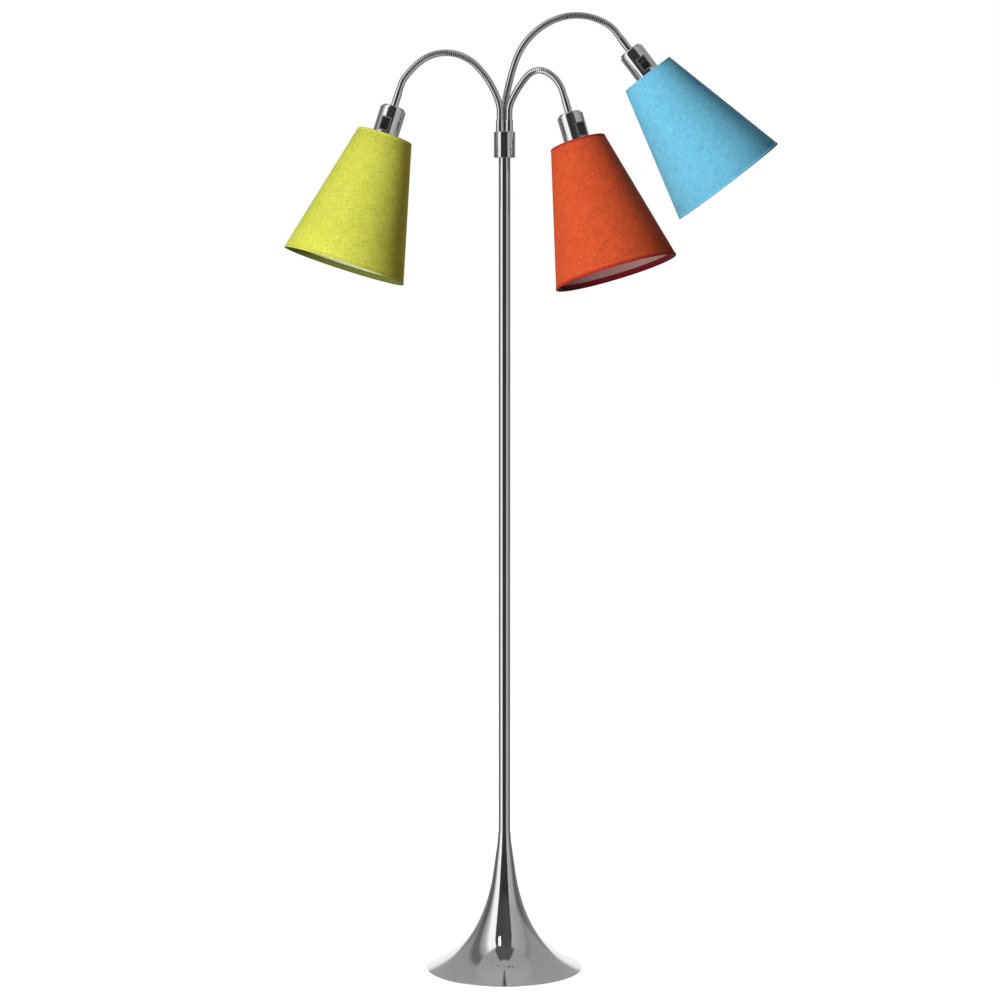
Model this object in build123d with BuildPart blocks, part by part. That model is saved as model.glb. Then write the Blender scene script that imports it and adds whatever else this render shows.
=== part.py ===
from build123d import *
from math import cos, radians, sin
import os

# Tree floor lamp: a weighted trumpet foot, a two-piece stem and a hub that carries three
# gooseneck arms. Each arm ends in a lamp holder with a rocker switch and a cone shade.
# The origin is on the floor under the stem, +Z up, -Y the front, +X the viewer's right.

os.makedirs("parts", exist_ok=True)

# Clearances
fit_gap = 0.05          # plain fit, on the radius
turn_gap = 0.1          # turning fit, on the radius
free_gap = 0.3          # between pieces that move past each other
seat_gap = 0.2          # between a soft or pressed piece and its seat
overcut = 1             # how far a cut runs past the face it opens

# Foot
foot_radius = 125
foot_height = 220.5
foot_neck_radius = 10.3
foot_waist = [(14.1, 185), (21, 140), (35.8, 90), (58.2, 50), (87.2, 22)]
foot_rim_slope = 23
foot_rim_height = 1.4
foot_sheet = 1.2
foot_cap_height = 2
pad_thickness = 2
pad_margin = 6
weight_height = 22
weight_margin = 14
weight_gap = 5
boss_radius = 18
boss_height = 24
pocket_radius = 15.5
pocket_height = 27
nut_flats = 17
nut_height = 6
nipple_radius = 5
nipple_bore = 3.6
nipple_grip = 14
nipple_tail = 1

# Mains lead inside the lamp, and the gland in the back of the foot
lead_radius = 2.8
lead_height = 7.6
lead_bend = 16
channel_width = 8.4
gland_radius = 4.5
gland_flange = 5.4
gland_flange_depth = 2
gland_inset = 26        # from the rim in to the gland's inner end
gland_length = 20.5

# Stem
stem_radius = 9.5
stem_wall = 1.2
stem_tube = 538
stem_seat = 12
joint_chamfer = 0.4
joiner_length = 44
joiner_wall = 2

# Hub
collar_radius = 17.2
collar_height = 41
collar_wall = 1.6
collar_floor = 3
collar_chamfer = 0.7
core_recess = 1
ferrule_circle = 8.1
ferrule_radius = 6.85
ferrule_taper = 0.35
ferrule_rise = 20
ferrule_stem_radius = 5
ferrule_stem = 17
ferrule_bore_depth = 15
ferrule_chamfer = 0.6
wire_way = 3.2

# Gooseneck
neck_radius = 5.6
rib_depth = 0.45
rib_pitch = 2
rib_rise = 0.2          # where a rib rises, falls and ends, as shares of the pitch
rib_fall = 0.6
rib_foot = 0.8
neck_bore = 2.4
neck_lead_in = 11
root_spigot_radius = 4.1
root_spigot = 12
ball_radius = 4.2
ball_relief = 3.4
sleeve_length = 24
sleeve_radius = 6.1
sleeve_chamfer = 0.5
sleeve_thread_radius = 4.8
sleeve_thread = 12

# Lamp holder, measured down its axis from the top of the cap
cap_radius = 18.25
cap_rise = 4.5
cap_round = 2.4
cap_wall = 2
cap_flange_height = 4
shell_radius = 21
shell_wall = 1.2
shell_end = 54
shell_lip = 1.4
socket_top = 43
socket_floor = 6
socket_flange = 2.5
socket_thread_radius = 19
socket_end = 80
socket_bore = 13.6
contact_height = 2.5
contact_radius = 5

# Rocker switch in the holder's side
switch_depth = 31.3
switch_body_width = 14
switch_body_length = 20.4
switch_body_inner = 11.5
switch_rim = 1.3
switch_rim_rise = 0.9
rocker_width = 11.6
rocker_reach = 8.6
rocker_pivot = 17.5
rocker_valley = 4.1
rocker_slope = 8
rocker_skirt = 2
rocker_rest_tilt = 6
rocker_pin_radius = 1
rocker_pin_reach = 0.9
pocket_floor = 5.2

# Shade, measured down the holder's axis from the shade's top edge
shade_top_depth = 47.3
shade_top_radius = 43.5
shade_bottom_radius = 97.5
shade_height = 213
shade_wall = 1.2
hem_height = 6
hem_fold = 0.7
wire_radius = 1.5
ring_inset = 2.2
spider_hub_width = 7
spoke_root = 0.8
spider_hub_thickness = 2
spider_arms = 3
clamp_radius = 24
clamp_height = 7
clamp_chamfer = 0.8

# Bulb
bulb_cap_radius = 13.2
bulb_cap_height = 26
bulb_neck_radius = 12.6
bulb_radius = 30
bulb_length = 106
bulb_glass = 0.9
bulb_neck_height = 8
bulb_shoulder = 60      # where the globe's round part starts, from the bulb's axis

# Arms: the ferrule's bearing on the hub, the bearing the arm points along, the stretches
# of its neck as (length, turn) in root, rise and arch, and the bearing its switch faces.
arms = {
    "left": dict(
        ferrule=210, bearing=192.5, switch=-103,
        root=[(19, 19.5)], rise=[(63.5, 26.5), (71.5, 59)], arch=[(31.5, 26), (31, 12), (13.5, 19)],
    ),
    "right": dict(
        ferrule=330, bearing=-21, switch=-58,
        root=[(19, 26.5)], rise=[(45, 16.5), (15.5, 31.5)], arch=[(18, 39), (45, 49)],
    ),
    "rear": dict(
        ferrule=90, bearing=1.5, switch=-77,
        root=[(19, 9.5)], rise=[(62, 9), (93, 48.5)], arch=[(91.5, 57), (14, 18.5)],
    ),
}

# Heights worked out from the sizes above
stem_foot = foot_height
stem_joint = stem_foot + stem_tube
collar_base = stem_joint + stem_tube
collar_top = collar_base + collar_height
core_base = collar_base + collar_floor
core_top = collar_top - core_recess
ferrule_top = core_top + ferrule_rise
stem_top = core_base + stem_seat
pad_radius = foot_radius - pad_margin
pocket_top = pad_thickness + pocket_height
boss_top = pad_thickness + weight_height + boss_height
nipple_base = pocket_top - nut_height - nipple_tail
nipple_top = stem_foot + nipple_grip
stem_bore = stem_radius - stem_wall
gland_inner_y = foot_radius - gland_inset
gland_outer_y = gland_inner_y + gland_length


def finish(piece, name):
    """Name a finished piece and write it out."""
    piece.part.label = name
    export_step(piece.part, f"parts/{name}.step")


def disc(plane, radius, height):
    """A cylinder on a plane, along the plane's normal, for the part being built."""
    with BuildSketch(plane) as outline:
        Circle(radius)
    extrude(outline.sketch, amount=height)


def bore(plane, radius, depth):
    """A round hole from a plane, along the plane's normal, in the part being built."""
    with BuildSketch(plane) as outline:
        Circle(radius)
    extrude(outline.sketch, amount=depth, mode=Mode.SUBTRACT)


def turned(plane, outline, mode=Mode.ADD):
    """Turn an outline of (radius, height) points about the plane's Y axis."""
    with BuildSketch(plane) as section:
        with BuildLine():
            Polyline(*outline, close=True)
        make_face()
    revolve(section.sketch, axis=Axis(plane.origin, plane.y_dir), mode=mode)


# ---------------------------------------------------------------------------- foot

# The trumpet: one spun sheet from the rim to the neck, closed by a thin top disc.
side = Plane.XZ
rim_point = (foot_radius - foot_rim_height / 2, foot_rim_height)
neck_point = (foot_neck_radius, foot_height)
rim_tangent = (cos(radians(foot_rim_slope)), -sin(radians(foot_rim_slope)))


def inset(point, across, down):
    """A point moved in towards the stem and down."""
    return (point[0] - across, point[1] - down)


rim_edge = (foot_radius, foot_rim_height / 2)
rim_inside = (foot_radius - foot_rim_height, foot_rim_height / 2)
with BuildPart() as base_cover:
    with BuildSketch(side):
        with BuildLine():
            Spline(neck_point, *foot_waist, rim_point, tangents=[(0, -1), rim_tangent])
            Line(rim_point, rim_edge)
            Line(rim_edge, rim_inside)
            Spline(
                inset(neck_point, foot_sheet, foot_cap_height),
                *[inset(point, foot_sheet, foot_sheet / 2) for point in foot_waist],
                rim_inside,
                tangents=[(0, -1), rim_tangent],
            )
            Line(inset(neck_point, foot_sheet, foot_cap_height), (0, foot_height - foot_cap_height))
            Line((0, foot_height - foot_cap_height), (0, foot_height))
            Line((0, foot_height), neck_point)
        make_face()
    revolve(axis=Axis.Z)
    bore(Plane.XY.offset(foot_height + overcut), nipple_radius + fit_gap, -foot_cap_height - 2 * overcut)
    gland_seat = Plane(origin=(0, gland_inner_y, lead_height), x_dir=(1, 0, 0), z_dir=(0, 1, 0))
    bore(gland_seat, gland_radius + fit_gap, foot_radius)
finish(base_cover, "base_cover")

# Cast weight: a plate that follows the sheet, a boss for the nipple, a pocket for the nut
# and a channel for the lead.
weight_top = pad_thickness + weight_height
weight_rim = foot_waist[-1][0] - weight_gap
weight_foot = foot_radius - weight_margin
with BuildPart() as base_weight:
    with BuildSketch(side):
        with BuildLine():
            Polyline(
                (0, boss_top), (0, pad_thickness), (weight_foot, pad_thickness),
                (weight_foot, pad_thickness + foot_sheet),
            )
            ThreePointArc(
                (weight_foot, pad_thickness + foot_sheet),
                ((weight_foot + weight_rim) / 2 - weight_gap / 2, weight_top / 2 - foot_sheet),
                (weight_rim - weight_gap, weight_top),
            )
            Polyline(
                (weight_rim - weight_gap, weight_top), (boss_radius, weight_top),
                (boss_radius, boss_top), (0, boss_top),
            )
        make_face()
    revolve(axis=Axis.Z)
    bore(Plane.XY.offset(pad_thickness), pocket_radius, pocket_height)
    bore(Plane.XY.offset(pad_thickness), nipple_radius + fit_gap, boss_top)
    with BuildSketch(Plane.XY.offset(pad_thickness)):
        with Locations((0, foot_radius / 2)):
            Rectangle(channel_width, foot_radius)
    extrude(amount=lead_height + channel_width / 2 - pad_thickness, mode=Mode.SUBTRACT)
    gland_recess = gland_flange + 2 * free_gap
    with BuildSketch(Plane.XY.offset(pad_thickness)):
        with Locations((0, gland_inner_y - gland_flange_depth - free_gap)):
            Rectangle(2 * gland_recess, foot_radius, align=(Align.CENTER, Align.MIN))
    extrude(amount=lead_height + gland_recess - pad_thickness, mode=Mode.SUBTRACT)
finish(base_weight, "base_weight")

with BuildPart() as base_pad:
    disc(Plane.XY, pad_radius, pad_thickness)
finish(base_pad, "base_pad")

with BuildPart() as base_nut:
    with BuildSketch(Plane.XY.offset(pocket_top - nut_height)):
        RegularPolygon(nut_flats / 2, 6, major_radius=False)
    extrude(amount=nut_height)
    bore(Plane.XY.offset(pocket_top - nut_height), nipple_radius + fit_gap, nut_height)
finish(base_nut, "base_nut")

with BuildPart() as base_nipple:
    disc(Plane.XY.offset(nipple_base), nipple_radius, nipple_top - nipple_base)
    bore(Plane.XY.offset(nipple_base), nipple_bore, nipple_top - nipple_base)
finish(base_nipple, "base_nipple")

# Gland: a bush through the back of the sheet, with a flange behind it.
with BuildPart() as cable_gland:
    disc(gland_seat, gland_radius, gland_length)
    disc(gland_seat, gland_flange, -gland_flange_depth)
    bore(gland_seat.offset(gland_length), lead_radius + seat_gap, -gland_length - gland_flange_depth)
finish(cable_gland, "cable_gland")

# Lead: from the gland along the channel, up through the nipple and the stem.
lead_start = (0, gland_outer_y - gland_flange_depth, lead_height)
with BuildPart() as supply_lead:
    with BuildLine() as lead_path:
        FilletPolyline(lead_start, (0, 0, lead_height), (0, 0, stem_top), radius=lead_bend)
    with BuildSketch(Plane(origin=lead_start, x_dir=(1, 0, 0), z_dir=(0, -1, 0))):
        Circle(lead_radius)
    sweep(path=lead_path.wires()[0])
finish(supply_lead, "supply_lead")

# ---------------------------------------------------------------------------- stem

# The lower tube has a plug at its foot that screws onto the nipple.
with BuildPart() as stem_lower:
    disc(Plane.XY.offset(stem_foot), stem_radius, stem_tube)
    chamfer(stem_lower.edges().group_by(Axis.Z)[-1], joint_chamfer)
    bore(Plane.XY.offset(stem_foot + nipple_grip), stem_bore, stem_tube)
    bore(Plane.XY.offset(stem_foot), nipple_radius + fit_gap, nipple_grip)
finish(stem_lower, "stem_lower")

with BuildPart() as stem_upper:
    disc(Plane.XY.offset(stem_joint), stem_radius, stem_top - stem_joint)
    chamfer(stem_upper.edges().group_by(Axis.Z)[0], joint_chamfer)
    bore(Plane.XY.offset(stem_joint), stem_bore, stem_top - stem_joint)
finish(stem_upper, "stem_upper")

with BuildPart() as stem_joiner:
    joiner_base = Plane.XY.offset(stem_joint - joiner_length / 2)
    disc(joiner_base, stem_bore - fit_gap, joiner_length)
    bore(joiner_base, stem_bore - joiner_wall, joiner_length)
finish(stem_joiner, "stem_joiner")

# ---------------------------------------------------------------------------- hub

with BuildPart() as hub_collar:
    disc(Plane.XY.offset(collar_base), collar_radius, collar_height)
    outer_edges = hub_collar.edges().filter_by(GeomType.CIRCLE)
    chamfer(outer_edges, collar_chamfer)
    bore(Plane.XY.offset(core_base), collar_radius - collar_wall, collar_height)
    bore(Plane.XY.offset(collar_base), stem_radius + fit_gap, collar_floor)
finish(hub_collar, "hub_collar")

# The core sits on the stem and holds the three ferrules in a triangle.
with BuildPart() as hub_core:
    disc(Plane.XY.offset(core_base), collar_radius - collar_wall - fit_gap, core_top - core_base)
    bore(Plane.XY.offset(core_base), stem_radius + fit_gap, stem_seat)
    for arm in arms.values():
        with BuildSketch(Plane.XY.offset(stem_top)):
            with PolarLocations(ferrule_circle, 1, start_angle=arm["ferrule"]):
                Circle(ferrule_stem_radius + fit_gap)
        extrude(amount=core_top - stem_top, mode=Mode.SUBTRACT)
finish(hub_core, "hub_core")


# ---------------------------------------------------------------------------- arms


def neck_plane(arm, distance):
    """The plane square to a neck at a distance along it, with X square to the arm."""
    bearing = radians(arm["bearing"])
    ferrule = radians(arm["ferrule"])
    reach, height, heading = 0, ferrule_top, 0
    for length, turn in neck_stretches(arm):
        step = min(distance, length)
        bend = radians(turn) * step / length
        chord = step * sin(bend / 2) / (bend / 2) if bend else step
        reach += chord * sin(heading + bend / 2)
        height += chord * cos(heading + bend / 2)
        heading += bend
        distance -= step
    origin = (
        ferrule_circle * cos(ferrule) + reach * cos(bearing),
        ferrule_circle * sin(ferrule) + reach * sin(bearing),
        height,
    )
    along = (sin(heading) * cos(bearing), sin(heading) * sin(bearing), cos(heading))
    return Plane(origin=origin, x_dir=(-sin(bearing), cos(bearing), 0), z_dir=along)


def neck_stretches(arm):
    """Every stretch of a neck, from the ferrule to the top of the lamp holder."""
    lead_in = (neck_lead_in, 0)
    sleeve = (sleeve_length, 0)
    return [lead_in, *arm["root"], *arm["rise"], *arm["arch"], lead_in, sleeve]


def run(stretches):
    """The length of some stretches of a neck."""
    return sum(length for length, turn in stretches)


def ribbed(arm, start, end):
    """The ribs of a neck between two distances, as a ruled loft of four circles each."""
    count = round((end - start) / rib_pitch)
    pitch = (end - start) / count
    root_radius = neck_radius - rib_depth
    places = [(end, root_radius)]
    for rib in range(count):
        rib_start = start + rib * pitch
        places += [(rib_start, root_radius), (rib_start + rib_rise * pitch, neck_radius)]
        places += [(rib_start + rib_fall * pitch, neck_radius), (rib_start + rib_foot * pitch, root_radius)]
    circles = []
    for distance, radius in sorted(places):
        with BuildSketch(neck_plane(arm, distance)) as circle:
            Circle(radius)
        circles.append(circle.sketch)
    loft(circles, ruled=True)


def neck_bore_along(arm, start, stretches):
    """The bore of a neck, swept along its arcs from a distance."""
    with BuildLine() as path:
        for length, turn in stretches:
            places = [neck_plane(arm, start + length * share).origin for share in (0, 0.5, 1)]
            if turn:
                ThreePointArc(*places)
            else:
                Line(places[0], places[2])
            start += length
    with BuildSketch(neck_plane(arm, start - run(stretches))) as section:
        Circle(neck_bore)
    sweep(section.sketch, path=path.wires()[0], mode=Mode.SUBTRACT)


def ball_end(arm, distance):
    """A ball about a hinge, on the end of the piece before it."""
    hinge = neck_plane(arm, distance)
    with BuildSketch(Plane(origin=hinge.origin, x_dir=hinge.x_dir, z_dir=-hinge.y_dir)) as half:
        with BuildLine():
            CenterArc((0, 0), ball_radius, -90, 180)
            Line((0, ball_radius), (0, -ball_radius))
        make_face()
    revolve(half.sketch, axis=Axis(hinge.origin, hinge.z_dir))


def cup_end(arm, distance):
    """The hollow for the ball, in the start of the piece after a hinge."""
    hinge = neck_plane(arm, distance)
    with BuildSketch(Plane(origin=hinge.origin, x_dir=hinge.x_dir, z_dir=-hinge.y_dir)) as half:
        with BuildLine():
            CenterArc((0, 0), ball_radius + free_gap, -90, 180)
            Line((0, ball_radius + free_gap), (0, -ball_radius - free_gap))
        make_face()
    revolve(half.sketch, axis=Axis(hinge.origin, hinge.z_dir), mode=Mode.SUBTRACT)


def build_arm(side_name, arm):
    """Every piece of one arm, from its ferrule to its shade and bulb."""
    root_end = neck_lead_in + run(arm["root"])
    rise_end = root_end + run(arm["rise"])
    arch_end = rise_end + run(arm["arch"]) + neck_lead_in
    seat = neck_plane(arm, 0)
    seat_side = Plane(origin=seat.origin, x_dir=seat.x_dir, z_dir=seat.x_dir.cross(seat.z_dir))

    # Ferrule: a slightly tapered cup screwed into the hub's core. The neck turns in its bore.
    ferrule_top_radius = ferrule_radius - ferrule_taper
    with BuildPart() as ferrule:
        turned(seat_side, [
            (0, -ferrule_rise), (ferrule_radius, -ferrule_rise), (ferrule_top_radius, -ferrule_chamfer),
            (ferrule_top_radius - ferrule_chamfer, 0), (0, 0),
        ])
        disc(seat.offset(-ferrule_rise), ferrule_stem_radius, -ferrule_stem)
        bore(seat.offset(-ferrule_bore_depth), root_spigot_radius + turn_gap, ferrule_bore_depth)
        bore(seat.offset(-ferrule_rise - ferrule_stem), wire_way, ferrule_stem + ferrule_rise)
    finish(ferrule, f"{side_name}_ferrule")

    # Neck, in three pieces that turn and bend past each other at ball ends.
    with BuildPart() as neck_root:
        ribbed(arm, free_gap, root_end - ball_relief)
        disc(seat.offset(free_gap), root_spigot_radius, -free_gap - root_spigot)
        ball_end(arm, root_end)
        bore(seat.offset(-root_spigot), neck_bore, root_spigot + free_gap)
        neck_bore_along(arm, 0, [(neck_lead_in, 0), *arm["root"]])
        bore(neck_plane(arm, root_end), neck_bore, ball_radius)
    finish(neck_root, f"{side_name}_neck_root")

    with BuildPart() as neck_rise:
        ribbed(arm, root_end, rise_end - ball_relief)
        ball_end(arm, rise_end)
        cup_end(arm, root_end)
        neck_bore_along(arm, root_end, arm["rise"])
        bore(neck_plane(arm, rise_end), neck_bore, ball_radius)
    finish(neck_rise, f"{side_name}_neck_rise")

    with BuildPart() as neck_arch:
        ribbed(arm, rise_end, arch_end - ball_relief)
        ball_end(arm, arch_end)
        cup_end(arm, rise_end)
        neck_bore_along(arm, rise_end, [*arm["arch"], (neck_lead_in, 0)])
        bore(neck_plane(arm, arch_end), neck_bore, ball_radius)
    finish(neck_arch, f"{side_name}_neck_arch")

    # The holder's planes: head looks up its axis from the cap, side_plane holds outlines.
    tip = neck_plane(arm, arch_end + sleeve_length)
    head = Plane(origin=tip.origin, x_dir=tip.x_dir, z_dir=-tip.z_dir)
    side_plane = Plane(origin=tip.origin, x_dir=tip.x_dir, z_dir=tip.x_dir.cross(-tip.z_dir))

    with BuildPart() as neck_sleeve:
        disc(head, sleeve_radius, sleeve_length)
        chamfer(neck_sleeve.edges().group_by(Axis(tip.origin, head.z_dir))[-1], sleeve_chamfer)
        disc(head, sleeve_thread_radius, -sleeve_thread)
        cup_end(arm, arch_end)
        bore(head.offset(-sleeve_thread), neck_bore, sleeve_thread + sleeve_length)
    finish(neck_sleeve, f"{side_name}_neck_sleeve")

    # Cap: a cup with a rounded top edge, held under the shell's lip by its flange.
    shell_bore = shell_radius - shell_wall
    with BuildPart() as holder_cap:
        disc(head, cap_radius, -cap_rise - shell_lip)
        fillet(holder_cap.edges().group_by(Axis(tip.origin, head.z_dir))[-1], cap_round)
        disc(head.offset(-cap_rise - shell_lip), shell_bore - seat_gap, -cap_flange_height)
        bore(head.offset(-cap_wall - cap_round), cap_radius - cap_wall, -cap_rise - cap_flange_height)
        bore(head, sleeve_thread_radius + fit_gap, -cap_wall - cap_round)
    finish(holder_cap, f"{side_name}_holder_cap")

    # Switch plane: it lies along the holder, and its Z points the way the switch faces.
    facing = Vector(cos(radians(arm["switch"])), sin(radians(arm["switch"])), 0)
    outward = (facing - head.z_dir * facing.dot(head.z_dir)).normalized()
    switch_centre = head.origin - head.z_dir * switch_depth
    across = head.z_dir.cross(outward)
    switch_plane = Plane(origin=switch_centre, x_dir=across, z_dir=outward)

    with BuildPart() as holder_shell:
        disc(head.offset(-cap_rise), shell_radius, cap_rise - shell_end)
        bore(head.offset(-cap_rise - shell_lip), shell_bore, cap_rise + shell_lip - shell_end)
        bore(head.offset(-cap_rise), cap_radius + fit_gap, -shell_lip)
        with BuildSketch(switch_plane):
            Rectangle(switch_body_width + 2 * fit_gap, switch_body_length + 2 * fit_gap)
        extrude(amount=2 * shell_radius, mode=Mode.SUBTRACT)
    finish(holder_shell, f"{side_name}_holder_shell")

    # Switch body: a box through the shell's window with a rim that hugs the shell outside.
    rim_radius = shell_radius + fit_gap
    pivot_plane = switch_plane.offset(rocker_pivot)
    with BuildPart() as switch_body:
        disc(head.offset(-switch_depth - switch_body_length / 2 - switch_rim),
             rim_radius + switch_rim_rise, switch_body_length + 2 * switch_rim)
        bore(head.offset(-switch_depth - switch_body_length / 2 - switch_rim),
             rim_radius, switch_body_length + 2 * switch_rim)
        with BuildSketch(switch_plane):
            Rectangle(switch_body_width + 2 * switch_rim, switch_body_length + 2 * switch_rim)
        extrude(amount=2 * shell_radius, mode=Mode.INTERSECT)
        with BuildSketch(switch_plane.offset(switch_body_inner)):
            Rectangle(switch_body_width, switch_body_length)
        extrude(amount=rim_radius + switch_rim_rise - switch_rim - switch_body_inner)
        with BuildSketch(pivot_plane.offset(-pocket_floor)):
            Rectangle(rocker_width + 2 * free_gap, 2 * (rocker_reach + free_gap))
        extrude(amount=2 * shell_radius, mode=Mode.SUBTRACT)
        pin_plane = Plane(origin=pivot_plane.origin, x_dir=head.z_dir, z_dir=across)
        pin_span = rocker_width / 2 + rocker_pin_reach + free_gap
        bore(pin_plane.offset(-pin_span), rocker_pin_radius + turn_gap, 2 * pin_span)
    finish(switch_body, f"{side_name}_switch_body")

    # Rocker: round-ended about its pivot, with a shallow valley in its face.
    tilt = Rotation(0, 0, rocker_rest_tilt)
    rocker_plane = Plane(origin=pivot_plane.origin, x_dir=head.z_dir, z_dir=across)
    with BuildPart() as switch_rocker:
        rocker_base = Plane(rocker_plane.location * tilt).offset(-rocker_width / 2)
        with BuildSketch(rocker_base):
            Circle(rocker_reach)
            with BuildLine():
                crest = rocker_valley + rocker_reach * sin(radians(rocker_slope))
                Polyline(
                    (-rocker_reach, -rocker_skirt), (-rocker_reach, crest), (0, rocker_valley),
                    (rocker_reach, crest), (rocker_reach, -rocker_skirt), close=True,
                )
            make_face(mode=Mode.INTERSECT)
        extrude(amount=rocker_width)
        pin_half = rocker_width / 2 + rocker_pin_reach
        disc(pin_plane.offset(-pin_half), rocker_pin_radius, 2 * pin_half)
    finish(switch_rocker, f"{side_name}_switch_rocker")

    # Socket: an insulating cup for the bulb, with a flange under the shell and a thread.
    with BuildPart() as socket:
        disc(head.offset(-socket_top), shell_bore - seat_gap, socket_top - shell_end)
        disc(head.offset(-shell_end), shell_radius, -socket_flange)
        disc(head.offset(-shell_end), socket_thread_radius, shell_end - socket_end)
        bore(head.offset(-socket_top - socket_floor), socket_bore, socket_top + socket_floor - socket_end)
        bore(head.offset(-socket_top), wire_way / 2, -socket_floor)
    finish(socket, f"{side_name}_socket")

    # Shade frame: a hub ring on the socket's flange, three wires and the top ring.
    hub_depth = shell_end + socket_flange
    ring_depth = shade_top_depth + ring_inset
    slope = (shade_bottom_radius - shade_top_radius) / shade_height
    ring_radius = shade_top_radius + slope * ring_inset - shade_wall - hem_fold - wire_radius - free_gap
    hub_radius = socket_thread_radius + free_gap + spider_hub_width
    spider_start = hub_radius - spoke_root
    with BuildPart() as shade_frame:
        disc(head.offset(-hub_depth), hub_radius, -spider_hub_thickness)
        hub_middle = head.origin - head.z_dir * (hub_depth + spider_hub_thickness / 2)
        ring_middle = head.origin - head.z_dir * ring_depth
        for spoke in range(spider_arms):
            turn = 360 * spoke / spider_arms
            spoke_dir = Vector(head.x_dir).rotate(Axis((0, 0, 0), head.z_dir), turn)
            inner = hub_middle + spoke_dir * spider_start
            outer = ring_middle + spoke_dir * ring_radius
            with BuildSketch(Plane(origin=inner, z_dir=outer - inner)):
                Circle(wire_radius)
            extrude(amount=(outer - inner).length)
        with BuildSketch(side_plane):
            with Locations((ring_radius, -ring_depth)):
                Circle(wire_radius)
        revolve(axis=Axis(head.origin, head.z_dir))
        bore(head.offset(-hub_depth), socket_thread_radius + free_gap, -spider_hub_thickness)
    finish(shade_frame, f"{side_name}_shade_frame")

    # Clamp ring: screws up the socket's thread and holds the frame's hub ring.
    clamp_top = head.offset(-hub_depth - spider_hub_thickness)
    with BuildPart() as shade_clamp:
        disc(clamp_top, clamp_radius, -clamp_height)
        chamfer(shade_clamp.edges().filter_by(GeomType.CIRCLE), clamp_chamfer)
        bore(clamp_top, socket_thread_radius + fit_gap, -clamp_height)
    finish(shade_clamp, f"{side_name}_shade_clamp")

    # Shade: one closed cone wall, open at both ends, with a folded hem inside each edge.
    def wall_radius(depth):
        return shade_top_radius + slope * depth

    inner_top = wall_radius(0) - shade_wall
    inner_bottom = wall_radius(shade_height) - shade_wall
    with BuildPart() as shade:
        turned(side_plane, [
            (wall_radius(0), -shade_top_depth),
            (wall_radius(shade_height), -shade_top_depth - shade_height),
            (inner_bottom - hem_fold, -shade_top_depth - shade_height),
            (inner_bottom - slope * hem_height - hem_fold, -shade_top_depth - shade_height + hem_height),
            (inner_bottom - slope * hem_height, -shade_top_depth - shade_height + hem_height),
            (inner_top + slope * hem_height, -shade_top_depth - hem_height),
            (inner_top + slope * hem_height - hem_fold, -shade_top_depth - hem_height),
            (inner_top - hem_fold, -shade_top_depth),
        ])
    finish(shade, f"{side_name}_shade")

    # Bottom ring: a wire hoop inside the lower hem.
    low_depth = shade_height - ring_inset
    low_radius = wall_radius(low_depth) - shade_wall - hem_fold - wire_radius - free_gap
    with BuildPart() as shade_hoop:
        with BuildSketch(side_plane):
            with Locations((low_radius, -shade_top_depth - low_depth)):
                Circle(wire_radius)
        revolve(axis=Axis(head.origin, head.z_dir))
    finish(shade_hoop, f"{side_name}_shade_hoop")

    # Bulb: a screw cap standing on the socket's floor, and a hollow round glass on it.
    seat_depth = socket_top + socket_floor
    cap_depth = seat_depth + contact_height
    with BuildPart() as bulb_cap:
        disc(head.offset(-seat_depth), contact_radius, -contact_height)
        disc(head.offset(-cap_depth), bulb_cap_radius, -bulb_cap_height)
    finish(bulb_cap, f"{side_name}_bulb_cap")

    glass_top = cap_depth + bulb_cap_height
    glass_end = cap_depth + bulb_length
    centre_depth = glass_end - bulb_radius
    inner_radius = bulb_radius - bulb_glass
    inner_neck = bulb_neck_radius - bulb_glass
    turn_out = sin(radians(bulb_shoulder))
    turn_down = cos(radians(bulb_shoulder))
    throat_height = -glass_top - bulb_neck_height
    throat = (bulb_neck_radius, throat_height)
    inner_throat = (inner_neck, throat_height)
    shoulder = (bulb_radius * turn_out, -centre_depth + bulb_radius * turn_down)
    inner_shoulder = (inner_radius * turn_out, -centre_depth + inner_radius * turn_down)
    with BuildPart() as bulb_globe:
        with BuildSketch(side_plane):
            with BuildLine():
                Line((bulb_neck_radius, -glass_top), throat)
                Spline(throat, shoulder, tangents=[(0, -1), (turn_down, -turn_out)])
                ThreePointArc(shoulder, (bulb_radius, -centre_depth), (0, -glass_end))
                Line((0, -glass_end), (0, -glass_end + bulb_glass))
                ThreePointArc((0, -glass_end + bulb_glass), (inner_radius, -centre_depth), inner_shoulder)
                Spline(inner_shoulder, inner_throat, tangents=[(-turn_down, turn_out), (0, 1)])
                Line(inner_throat, (inner_neck, -glass_top))
                Line((inner_neck, -glass_top), (bulb_neck_radius, -glass_top))
            make_face()
        revolve(axis=Axis(head.origin, head.z_dir))
    finish(bulb_globe, f"{side_name}_bulb_globe")


for side_name, arm in arms.items():
    build_arm(side_name, arm)
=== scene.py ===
from math import atan2, cos, hypot, pi, radians, sin, tan

import bpy
from mathutils import Matrix, Vector


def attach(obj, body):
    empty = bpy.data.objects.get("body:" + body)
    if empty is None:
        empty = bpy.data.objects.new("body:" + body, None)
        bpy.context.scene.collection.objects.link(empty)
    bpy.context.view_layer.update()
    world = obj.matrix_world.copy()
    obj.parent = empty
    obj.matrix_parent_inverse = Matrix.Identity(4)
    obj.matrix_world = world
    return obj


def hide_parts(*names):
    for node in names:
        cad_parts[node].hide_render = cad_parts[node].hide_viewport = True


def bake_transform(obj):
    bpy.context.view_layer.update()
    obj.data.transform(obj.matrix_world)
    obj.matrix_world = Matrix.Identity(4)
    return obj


# Tree floor lamp: a trumpet foot, a two-piece chromed stem and a hub with three wound
# necks, each with a lamp holder, a rocker switch and a cone shade in its own colour.
# Everything is in metres in the frame of the CAD: +Z up, -Y the front, origin on the floor.

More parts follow.
